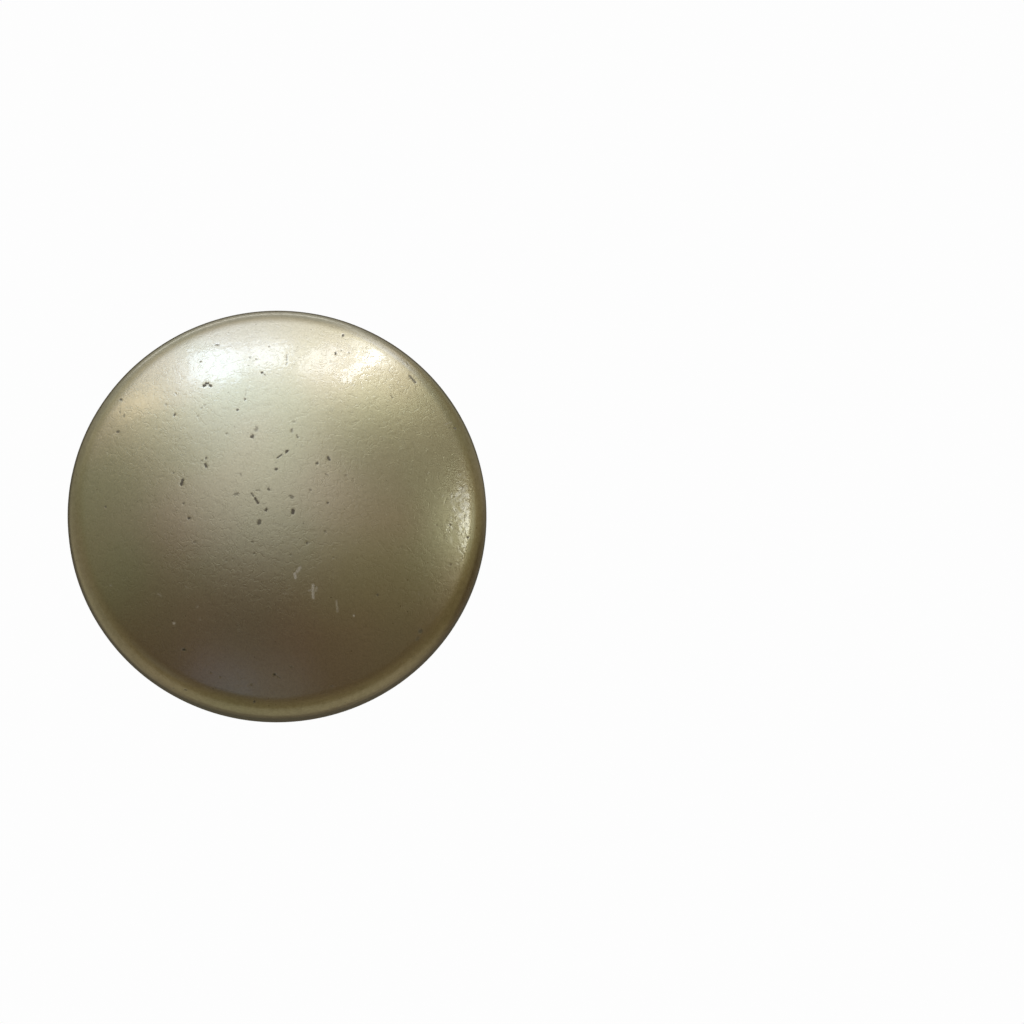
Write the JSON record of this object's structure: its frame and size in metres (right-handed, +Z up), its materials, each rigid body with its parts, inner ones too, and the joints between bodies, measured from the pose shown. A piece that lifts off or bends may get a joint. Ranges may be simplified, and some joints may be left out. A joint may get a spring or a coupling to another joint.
{
  "type": "clip-on button earring",
  "caption": "Round domed button earring in champagne pearl lacquer, with a rolled rim, a flat back and a plain spring clip that holds the ear lobe.",
  "frame": {"origin": "under the middle of the dome, on the surface that the earring lies on: the underside of the clip's paddle", "axes": "+Z up along the dome's axis, from the back through the crown; +Y towards the edge that is the top when worn, which is where the ear lobe goes in; +X to the right when seen from the front"},
  "size_m": [0.032, 0.032, 0.0114],
  "materials": {
    "pearl_lacquer": "glossy champagne pearl lacquer over moulded plastic, worn, with small dents, chips and scratches",
    "plated_metal": "nickel-plated spring steel, satin, lightly worn"
  },
  "bodies": {
    "root": {"dome": "pearl_lacquer", "ear_clip": "plated_metal"}
  },
  "joints": []
}
